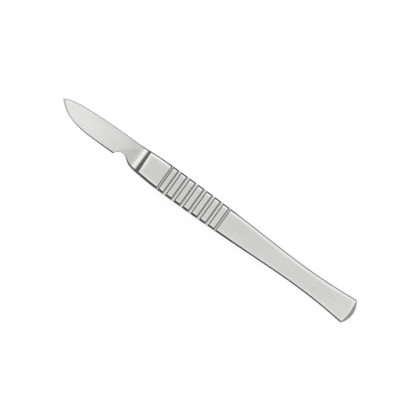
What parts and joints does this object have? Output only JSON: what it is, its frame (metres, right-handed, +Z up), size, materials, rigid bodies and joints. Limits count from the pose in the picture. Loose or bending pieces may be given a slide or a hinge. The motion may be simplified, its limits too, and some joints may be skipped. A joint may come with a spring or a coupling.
{
  "type": "solid forged scalpel",
  "caption": "One-piece steel scalpel: pointed blade with a curved edge, finger notch, shouldered neck, cross-ribbed flat grip and a slim handle that flares to a rounded tail.",
  "frame": {"origin": "on the surface that the knife lies on, under the middle of its bounding box", "axes": "+X along the knife from tip to tail, +Y from the cutting edge to the spine, +Z up from the surface that the flat of the handle lies on"},
  "size_m": [0.155, 0.0122, 0.0042],
  "materials": {
    "satin_steel": "satin"
  },
  "bodies": {
    "root": {"forged_scalpel": "satin_steel"}
  },
  "joints": []
}
